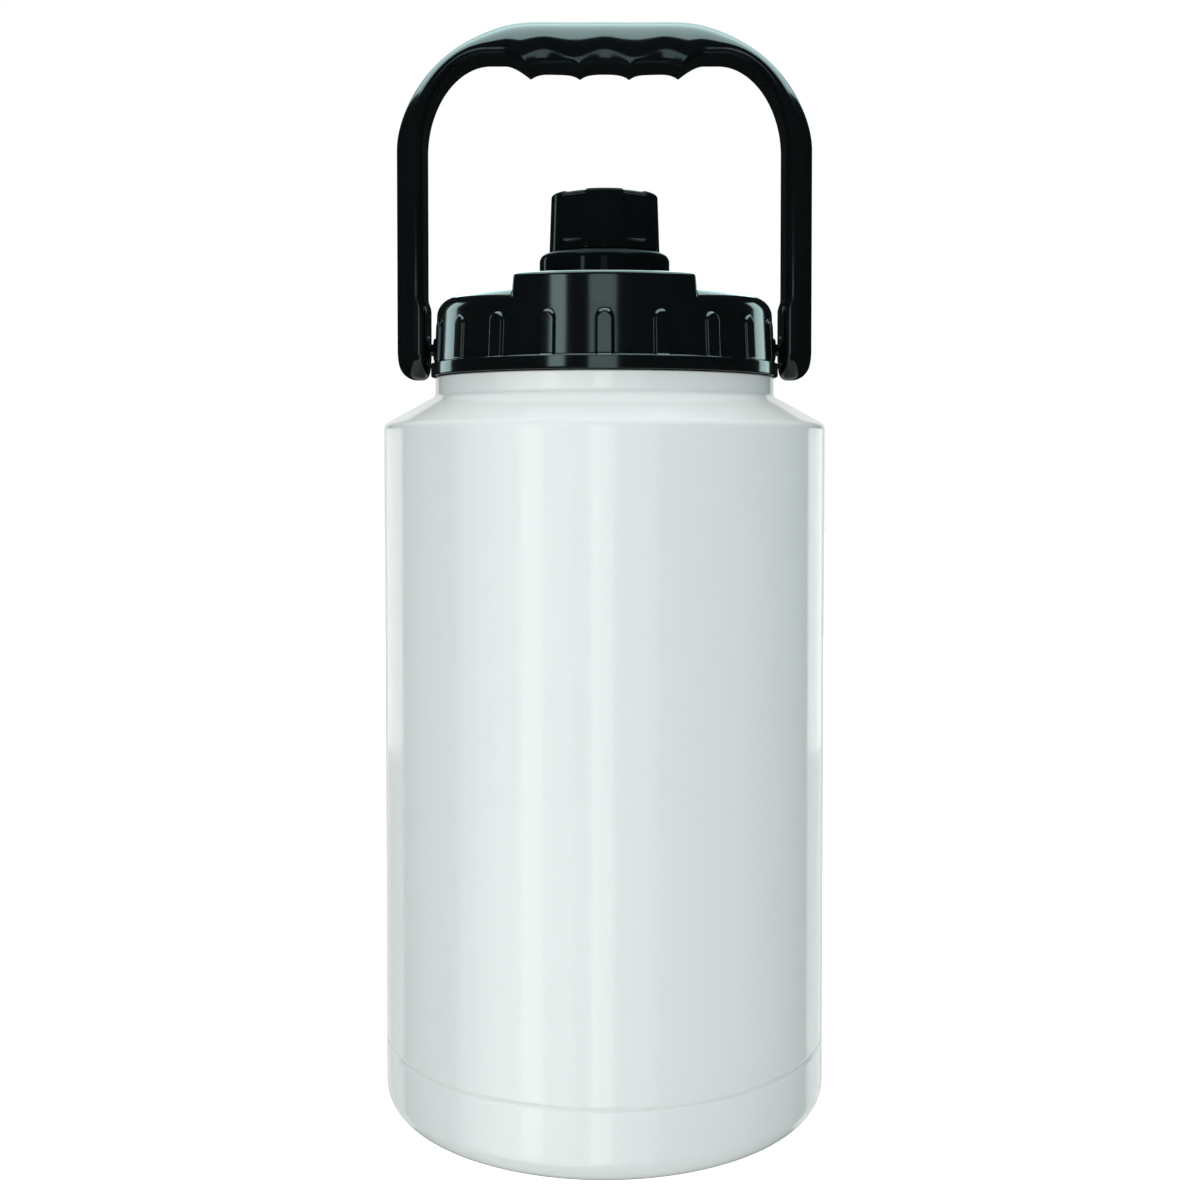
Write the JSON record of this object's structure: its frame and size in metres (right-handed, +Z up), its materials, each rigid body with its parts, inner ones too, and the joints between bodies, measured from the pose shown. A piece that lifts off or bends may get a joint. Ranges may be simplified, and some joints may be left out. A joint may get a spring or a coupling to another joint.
{
  "type": "insulated drinks jug",
  "caption": "Large insulated steel drinks jug in pale gloss paint, with a ribbed black screw lid, a fluted pour cap and a swinging carry handle.",
  "frame": {"origin": "middle of the ring that the jug stands on", "axes": "+Z up along the jug's axis, -Y towards the pictured side, X along the handle's pivot axis"},
  "size_m": [0.152, 0.152, 0.3728],
  "materials": {
    "vessel_paint": "smooth gloss paint over steel, off-white",
    "lid_plastic": "moulded black plastic, glossy",
    "spout_plastic": "moulded black plastic, glossy",
    "handle_plastic": "moulded black plastic, glossy"
  },
  "bodies": {
    "jug": {"vessel": "vessel_paint", "lid": "lid_plastic", "spout_collar": "spout_plastic", "pour_cap": "spout_plastic"},
    "handle": {"handle": "handle_plastic"}
  },
  "joints": [
    {"name": "handle_swing", "type": "hinge", "parent": "jug", "child": "handle", "pos_m": [0, 0, 0.26], "axis": [1, 0, 0], "range_deg": [-105, 105]}
  ]
}
